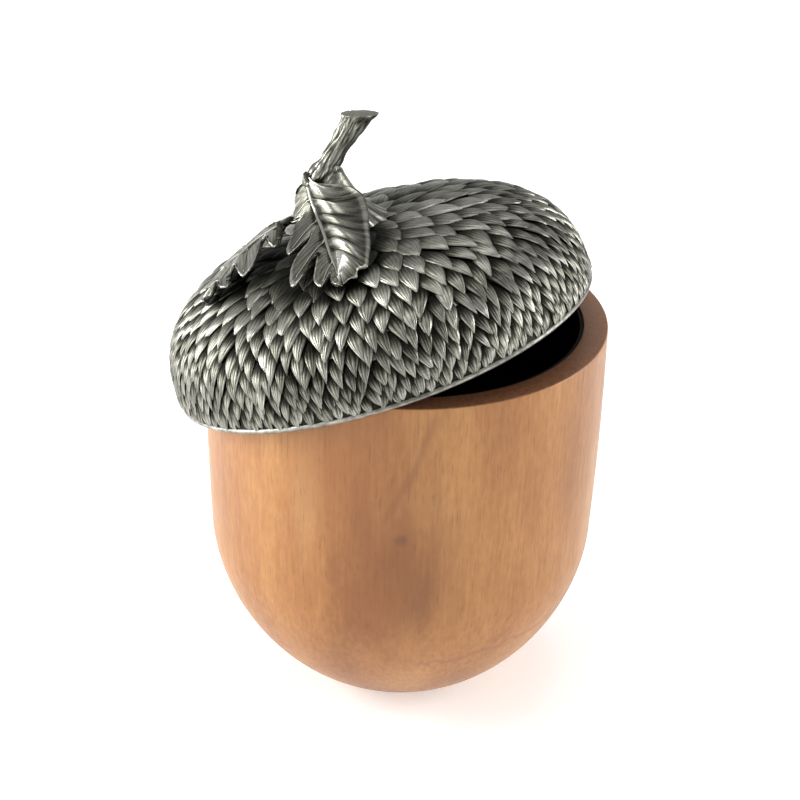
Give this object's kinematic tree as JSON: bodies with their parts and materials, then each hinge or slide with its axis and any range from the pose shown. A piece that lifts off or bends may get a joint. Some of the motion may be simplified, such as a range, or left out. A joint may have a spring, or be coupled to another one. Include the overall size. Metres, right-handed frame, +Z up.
{
  "type": "sugar bowl",
  "caption": "Acorn-shaped round wooden bowl with a black liner and a cast pewter cap lid, scaled like an acorn cup, set ajar, with a twig and oak leaves on top.",
  "frame": {"origin": "centre of the flat foot, on the surface the bowl stands on", "axes": "+Z up along the bowl's axis; the lid is tipped towards about -X, with +X at its open side"},
  "size_m": [0.1089, 0.1079, 0.15],
  "materials": {
    "turned_wood": "satin oiled close-grained hardwood, darker end grain at the rim",
    "black_liner": "smooth near-black",
    "antique_pewter": "cast pewter, bright on raised edges and dark in the recesses",
    "bright_pewter": "plain polished pewter edge",
    "screw_steel": "plain"
  },
  "bodies": {
    "bowl": {"wood_bowl": "turned_wood", "liner_cup": "black_liner"},
    "lid": {"lid_cap": "antique_pewter", "lip_bead": "bright_pewter", "stem_twig": "antique_pewter", "leaf_front": "antique_pewter", "leaf_left": "antique_pewter", "finial_washer": "screw_steel", "finial_screw": "screw_steel"}
  },
  "joints": [
    {"name": "lid_lift", "type": "slide", "parent": "bowl", "child": "lid", "axis": [0, 0, 1], "range_m": [0, 0.1]}
  ]
}
